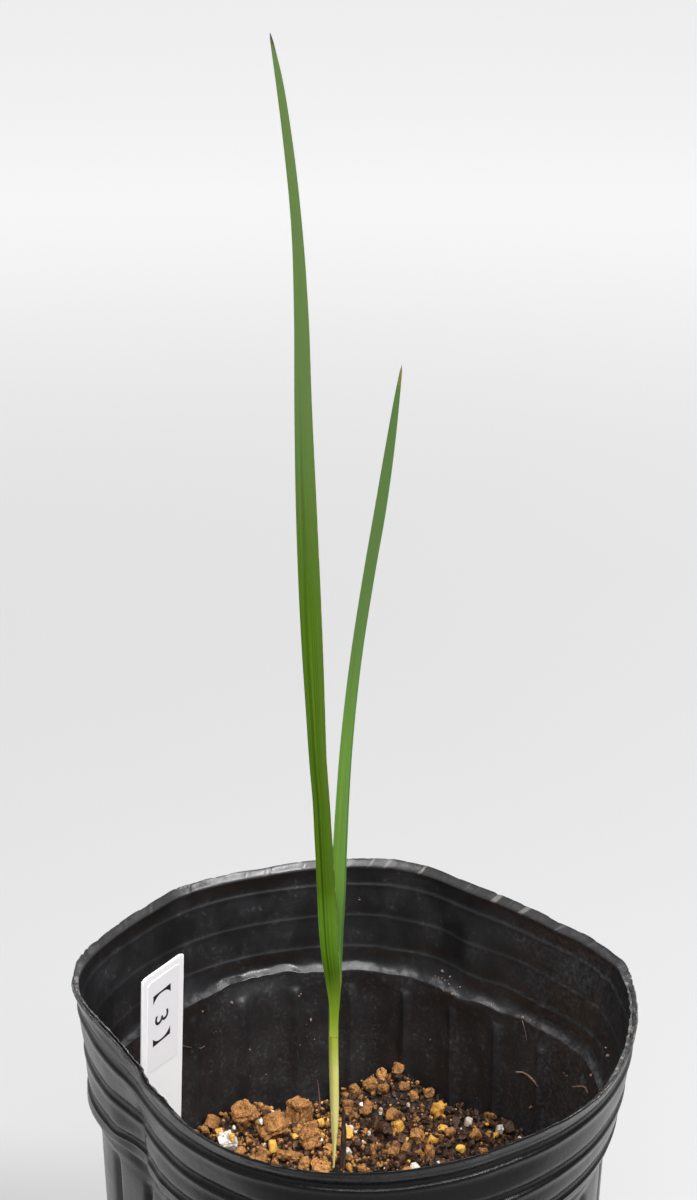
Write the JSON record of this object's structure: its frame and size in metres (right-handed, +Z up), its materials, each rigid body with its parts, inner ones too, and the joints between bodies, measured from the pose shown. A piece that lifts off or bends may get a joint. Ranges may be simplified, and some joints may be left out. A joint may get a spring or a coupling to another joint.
{
  "type": "potted trithrinax palm",
  "caption": "Young trithrinax palm with strap leaves in a deep black nursery pot, with a white plant label",
  "frame": {"origin": "the middle of the flat underside of the pot, which stands on the floor", "axes": "+Z up the pot and the leaves, +X to the viewer's right, the viewer at -Y"},
  "size_m": [0.1202, 0.1179, 0.3447],
  "materials": {
    "pot_plastic": "satin",
    "soil_mix": "rough",
    "stem": "satin",
    "foliage": "satin",
    "dry_sheath": "rough",
    "label_plastic": "satin",
    "tape": "satin"
  },
  "bodies": {
    "root": {"pot": "pot_plastic", "soil": "soil_mix", "stem": "stem", "leaf_tall": "foliage", "leaf_short": "foliage", "spent_sheath": "dry_sheath", "label": "label_plastic", "label_tape": "tape"}
  },
  "joints": []
}
